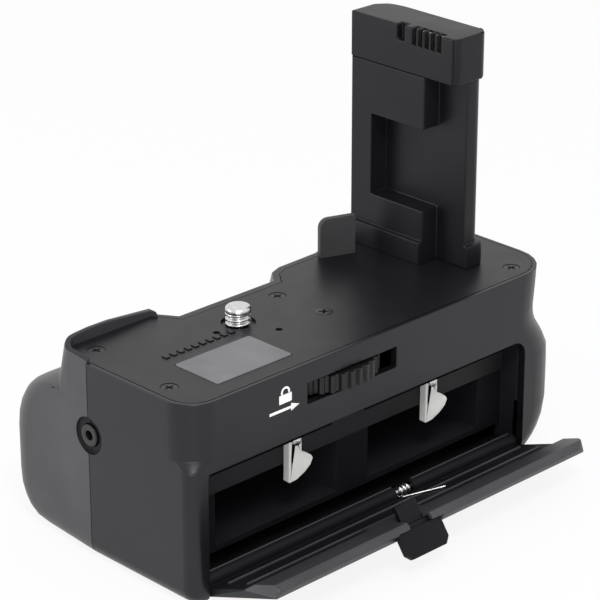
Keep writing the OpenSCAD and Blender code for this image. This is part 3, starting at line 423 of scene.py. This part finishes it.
button_low, button_high = (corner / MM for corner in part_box("shutter_button"))
button_axis = (button_low + button_high) / 2
flange_r = (button_high.y - button_low.y) / 2
flange_x = button_low.x + FLANGE_T
profile = [(button_low.x, flange_r), (flange_x, flange_r), (flange_x, BUTTON_R)]
profile += [(button_high.x - depth, r) for depth, r in BUTTON_FACE]
button_rings = [[Vector((x, button_axis.y + b, button_axis.z - a)) * MM
                 for a, b in circle(r, BUTTON_SIDES)] for x, r in profile]
button = piece("dished_button", turned(button_rings), "button", "button")
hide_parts("shutter_button")


# Door: the outside is as the shell; inside, a dull recess below the paler band of the free edge.
# The recess is painted shade, a duller copy of the moulding, and the band is painted light, a paler
# copy.

RECESS_TOP, OUTER_SIDE, HEEL_R = 14.9, -2.5, 3.0
closed = swing.inverted()


def inside_door(p):
    heel = p.z < 0 and math.hypot(p.y, p.z) > HEEL_R
    return p.y > OUTER_SIDE and not heel


def door_recess_painted_shade(centre, normal):
    p = closed @ centre
    return inside_door(p) and p.z < RECESS_TOP


def door_band_painted_light(centre, normal):
    p = closed @ centre
    return inside_door(p) and p.z >= RECESS_TOP


# painted shade in the recess, painted light on the band
repaint("battery_door", "recess", door_recess_painted_shade)
repaint("battery_door", "band", door_band_painted_light)


# Fine ridges along the door: two on the inner face, one in two lengths on the barrel. The ridges
# are modelled; their paler band material paints a highlight line along each.

# Across and out of the face, in shares of a ridge's width and height
RIDGE_SECTION = [(-0.5, -0.2), (-0.5, 0.6), (-0.22, 1), (0.22, 1), (0.5, 0.6), (0.5, -0.2)]
RIDGE_STOPS = (0, 0.003, 0.997, 1)
RIB_X, RIB_Y, RIB_Z, RIB_W, RIB_H = (-33, 69), -1.3, (5.8, 12.8), 0.6, 0.45
BEAD_X, BEAD_R, BEAD_W, BEAD_H = [(-35, 27.4), (34.6, 71)], 1.95, 0.5, 0.3
BEAD_OUT = Vector((0, 0.953, 0.302))


def ridge(name, start, end, out, width, height):
    """A rounded bar that stands out of a face; its ends are in the frame of the closed door."""
    across = (end - start).normalized().cross(out)
    rings = []
    for stop in RIDGE_STOPS:
        spine = start.lerp(end, stop)
        rings.append([(swing @ (spine + across * (a * width) + out * (b * height))) * MM
                      for a, b in RIDGE_SECTION])
    # the pale band material: a painted highlight along the bar
    piece(name, turned(rings), "band", "door", smooth=False)


for k, z in enumerate(RIB_Z):
    ends = [Vector((x, RIB_Y, z)) for x in RIB_X]
    ridge(f"door_rib_{k + 1}", *ends, Vector((0, 1, 0)), RIB_W, RIB_H)
for k, run in enumerate(BEAD_X):
    ends = [Vector((x, 0, 0)) + BEAD_OUT * BEAD_R for x in run]
    ridge(f"barrel_bead_{k + 1}", *ends, BEAD_OUT, BEAD_W, BEAD_H)


# Faces of the housing that get another material: the fence and the bare rim in their own tone, the
# jack recess and the bay's face plate in painted shade

FENCE_Z = 0.4  # the fence beside the tower is paler and duller than the plate
repaint("top_deck", "fence", lambda centre, normal: centre.z > FENCE_Z)

JACK_Y, JACK_Z, JACK_RECESS_R, JACK_SKIN_X, JACK_INNER_X = 7.0, -18.6, 4.8, -41.98, -35


def jack_recess(centre, normal):
    """The ring-shaped recess round the remote jack, in both shells; its faces take the recess
    material as painted shade.
    """
    deep = JACK_SKIN_X < centre.x < JACK_INNER_X
    return deep and math.hypot(centre.y - JACK_Y, centre.z - JACK_Z) < JACK_RECESS_R


repaint("front_shell", "recess", jack_recess)
repaint("rear_shell", "recess", jack_recess)

BARE_Z, FACING = -3.0, 0.7  # the front shell's upper rim has no grip coating
repaint("front_shell", "shell",
        lambda centre, normal: centre.z > BARE_Z and normal.z > FACING)

# the bay's face plate, deep in the bay, gets a darker copy of the bay plastic: painted shade
PLATE_Y, PLATE_TOL, PLATE_FACING = -21.2, 0.05, -0.9  # the bay's face plate is darker
repaint("bay_chassis", "bay_face", lambda centre, normal:
        abs(centre.y - PLATE_Y) < PLATE_TOL and normal.y < PLATE_FACING)


# Parting line of the two half shells: a near-black strip of painted shade, sunk in the groove
# between their rounded edges

SEAM_Y, SEAM_HALF, SEAM_SINK, SEAM_T = 7.0, 0.16, 0.06, 0.1
SEAM_SECTION = [(0, -SEAM_HALF), (0, SEAM_HALF), (SEAM_T, SEAM_HALF), (SEAM_T, -SEAM_HALF)]
SEAM_RUNS = {
    "left_top": [(-42, -0.3), (-42, -13.9)],
    "left_low": [(-42, -23.3), (-42, -47), (-41.67, -48.6), (-40.86, -49.8), (-39.74, -50.6),
                 (-38, -51)],
    "right": [(83.5, -0.3), (83.1, -5.25), (82.54, -10.5), (82.53, -12.54), (82.84, -14),
              (83.51, -15.5), (84.43, -16.99), (86.46, -19.85), (88.24, -23.25), (88.5, -27.5),
              (88.5, -31.5), (88.46, -38), (87.58, -42), (85.99, -45), (84.3, -47),
              (82.34, -48.6), (80.17, -49.8), (77.82, -50.6), (74.5, -51)],
}

for name, run in SEAM_RUNS.items():
    end = 1 if name == "right" else -1
    last = len(run) - 1
    rings = []
    for k, (x, z) in enumerate(run):
        (xa, za), (xb, zb) = run[max(k - 1, 0)], run[min(k + 1, last)]
        along = Vector((xb - xa, 0, zb - za)).normalized()
        inward = Vector((along.z, 0, -along.x)) * end
        skin = Vector((x, SEAM_Y, z)) + inward * SEAM_SINK
        rings.append([(skin + inward * deep + Vector((0, wide, 0))) * MM
                      for deep, wide in SEAM_SECTION])
    piece(f"seam_{name}", turned(rings), "seam", "housing", smooth=False)


# Printed sign on the rear wall: a padlock and an arrow, as a thin film of ink

WALL_Y, INK_T = -29.0, 0.04
LOCK_X, LOCK_LOW, LOCK_HIGH, LOCK_HALF = -12.2, -7.6, -5.4, 2
SHACKLE_Z, SHACKLE_FOOT, SHACKLE_OUT, SHACKLE_IN = -4.9, -5.3, 1.45, 0.9
ARROW_X0, ARROW_NECK, ARROW_X1 = -17.3, -10.4, -7.7
ARROW_Z, ARROW_HALF, ARROW_HEAD = -9.25, 0.35, 1.0


def film(name, outlines, y, thick, mat):
    """Flat outlines in X and Z, given a little thickness towards the rear."""
    loops = [[Vector((x, y, z)) for x, z in outline] for outline in outlines]
    shape = prism(loops, Vector((0, -thick, 0)))
    piece(name, shape, mat, "housing", smooth=False)


lock_body = [(LOCK_X - LOCK_HALF, LOCK_LOW), (LOCK_X + LOCK_HALF, LOCK_LOW),
             (LOCK_X + LOCK_HALF, LOCK_HIGH), (LOCK_X - LOCK_HALF, LOCK_HIGH)]
shackle = arc((LOCK_X, SHACKLE_Z), SHACKLE_OUT, 0, 180)
shackle += [(LOCK_X - SHACKLE_OUT, SHACKLE_FOOT), (LOCK_X - SHACKLE_IN, SHACKLE_FOOT)]
shackle += arc((LOCK_X, SHACKLE_Z), SHACKLE_IN, 180, 0)
shackle += [(LOCK_X + SHACKLE_IN, SHACKLE_FOOT), (LOCK_X + SHACKLE_OUT, SHACKLE_FOOT)]
arrow = [(ARROW_X0, ARROW_Z - ARROW_HALF), (ARROW_NECK, ARROW_Z - ARROW_HALF),
         (ARROW_NECK, ARROW_Z - ARROW_HEAD), (ARROW_X1, ARROW_Z),
         (ARROW_NECK, ARROW_Z + ARROW_HEAD), (ARROW_NECK, ARROW_Z + ARROW_HALF),
         (ARROW_X0, ARROW_Z + ARROW_HALF)]
film("lock_sign", [lock_body, shackle, arrow], WALL_Y, INK_T, "print")


# Bay: near-black bars of painted shade under the mouth's upper edge, and a paler brow over the
# wells behind the hooks

RIM_RUNS = [(-36.3, 5.5), (16.5, 68.3)]  # the lever's nose passes between them
RIM_LOW, RIM_HIGH, RIM_CUT, RIM_Y, RIM_T = -19.95, -17.98, 0.2, -26.35, 0.4
BROW_X0, BROW_X1, BROW_LOW, BROW_HIGH, BROW_CUT, BROW_R = -36.3, 72.3, -28.4, -18.2, 0.4, 3.9
BROW_T, BROW_SINK = 0.2, 0.02


def lower_outline(x0, x1, low, high, cut):
    """Outline of a plate from its upper left corner round to the right side, lower corners cut."""
    return [(x0, high), (x0, low + cut), (x0 + cut, low), (x1 - cut, low), (x1, low + cut)]


for k, (x0, x1) in enumerate(RIM_RUNS):
    bar = lower_outline(x0, x1, RIM_LOW, RIM_HIGH, RIM_CUT) + [(x1, RIM_HIGH)]
    film(f"mouth_rim_shade_{k + 1}", [bar], RIM_Y, RIM_T, "rim")
brow = lower_outline(BROW_X0, BROW_X1, BROW_LOW, BROW_HIGH, BROW_CUT)
brow += arc((BROW_X1 - BROW_R, BROW_HIGH - BROW_R), BROW_R, 0, 90)
film("bay_brow", [brow], PLATE_Y + BROW_SINK, BROW_T + BROW_SINK, "brow")


# Screw head over the middle dimple of the deck; its cross slot is not cut but painted shade, a
# near-black cross through the head's top

HEAD_AT, HEAD_R, HEAD_SIDES = Vector((19.2, -10.0, 0)), 2.2, 40
HEAD_PROFILE = [(-0.05, HEAD_R), (0.03, HEAD_R), (0.08, HEAD_R - 0.1), (0.1, HEAD_R * 0.6),
                (0.1, 0.1)]
SLOT_TURNS, SLOT_LONG, SLOT_WIDE, SLOT_LOW, SLOT_T = (40, 130), 1.25, 0.24, 0.06, 0.06

head_rings = [[HEAD_AT * MM + p for p in level_ring(z, r, HEAD_SIDES)] for z, r in HEAD_PROFILE]
piece("deck_screw_5", turned(head_rings), "black_metal", "housing")

cross = []
for turn in SLOT_TURNS:
    long = Vector((math.cos(math.radians(turn)), math.sin(math.radians(turn)), 0))
    wide = Vector((-long.y, long.x, 0))
    middle = HEAD_AT + Vector((0, 0, SLOT_LOW))
    cross.append([middle + long * (SLOT_LONG * a) + wide * (SLOT_WIDE * b)
                  for a, b in [(-1, -1), (1, -1), (1, 1), (-1, 1)]])
slot_shade_shape = prism(cross, Vector((0, 0, SLOT_T)))
piece("deck_screw_5_slot_shade", slot_shade_shape, "seam", "housing", smooth=False)


# Stage: pale floor, white surround, soft lamps

AMBIENT, SEEN_WHITE = 0.75, 1.0
FLOOR_DROP, FLOOR_HALF = 0.2 * MM, 3.0  # metres
FLOOR_TONE, FLOOR_ROUGH, FLOOR_GLOW = 0.9, 0.9, 0.88
# Place and aim in metres, size in metres, power in watts
LAMPS = {
    "key_top": ((-0.28, -0.42, 0.66), (0.0, 0.0, 0.0), 0.2, 3.0),
    "left_soft": ((-0.80, 0.55, 0.10), (-0.02, 0.0, -0.02), 0.5, 3.0),
    "front_fill": ((-0.48, -0.50, 0.03), (0.0, -0.02, -0.03), 0.3, 1.3),
}


def seen_white(tree):
    """1 for the camera, gloss and glass, so that they meet a white surround; 0 for light."""
    path = add(tree, "ShaderNodeLightPath")
    seen = path.outputs["Is Camera Ray"]
    for kind in ("Is Glossy Ray", "Is Transmission Ray"):
        either = add(tree, "ShaderNodeMath", operation="MAXIMUM")
        tree.links.new(seen, either.inputs[0])
        tree.links.new(path.outputs[kind], either.inputs[1])
        seen = either.outputs[0]
    return seen


world = bpy.data.worlds.new("studio")
scene.world = world
world.use_nodes = True
world_tree = world.node_tree
background = world_tree.nodes["Background"]
background.inputs["Color"].default_value = (1, 1, 1, 1)
strength = add(world_tree, "ShaderNodeMix", data_type="FLOAT")
strength.inputs[FLOAT_A].default_value = AMBIENT
strength.inputs[FLOAT_B].default_value = SEEN_WHITE
world_tree.links.new(seen_white(world_tree), strength.inputs[MIX_FACTOR])
world_tree.links.new(strength.outputs[FLOAT_OUT], background.inputs["Strength"])

floor_z = cad_low.z - FLOOR_DROP
floor_corners = [(x * FLOOR_HALF, y * FLOOR_HALF, floor_z)
                 for x, y in [(-1, -1), (1, -1), (1, 1), (-1, 1)]]
floor_mesh = bpy.data.meshes.new("floor")
floor_mesh.from_pydata(floor_corners, [], [(0, 1, 2, 3)])
floor = bpy.data.objects.new("floor", floor_mesh)
scene.collection.objects.link(floor)
floor_mat, floor_tree, floor_shader = new_material("pale_floor")
floor_shader.inputs["Base Color"].default_value = (FLOOR_TONE, FLOOR_TONE, FLOOR_TONE, 1)
floor_shader.inputs["Roughness"].default_value = FLOOR_ROUGH
glow = add(floor_tree, "ShaderNodeEmission", Strength=1.0)
share = add(floor_tree, "ShaderNodeMath", operation="MULTIPLY")
share.inputs[1].default_value = FLOOR_GLOW
both = add(floor_tree, "ShaderNodeMixShader")
floor_tree.links.new(seen_white(floor_tree), share.inputs[0])
floor_tree.links.new(share.outputs[0], both.inputs[0])
floor_tree.links.new(floor_shader.outputs[0], both.inputs[1])
floor_tree.links.new(glow.outputs[0], both.inputs[2])
floor_tree.links.new(both.outputs[0], floor_tree.nodes["Material Output"].inputs["Surface"])
floor_mesh.materials.append(floor_mat)

for name, (place, aim, size, watts) in LAMPS.items():
    data = bpy.data.lights.new(name, "AREA")
    data.energy = watts
    data.size = size
    lamp = bpy.data.objects.new(name, data)
    lamp.location = place
    lamp.rotation_euler = (Vector(aim) - Vector(place)).to_track_quat("-Z", "Y").to_euler()
    scene.collection.objects.link(lamp)


# Camera at the photograph's viewing angle

CAMERA_AT, CAMERA_AIM = Vector((-402.40, -433.75, 259.27)), Vector((0.642, 0.658, -0.394))
SENSOR, LENS, CLIP_START = 36, 160.8, 0.01  # the last in metres

camera_data = bpy.data.cameras.new("camera")
camera_data.sensor_width = SENSOR
camera_data.lens = LENS
camera_data.clip_start = CLIP_START
camera = bpy.data.objects.new("camera", camera_data)
camera.location = CAMERA_AT * MM
camera.rotation_euler = CAMERA_AIM.to_track_quat("-Z", "Y").to_euler()
scene.collection.objects.link(camera)
scene.camera = camera
scene.view_settings.view_transform = "Standard"
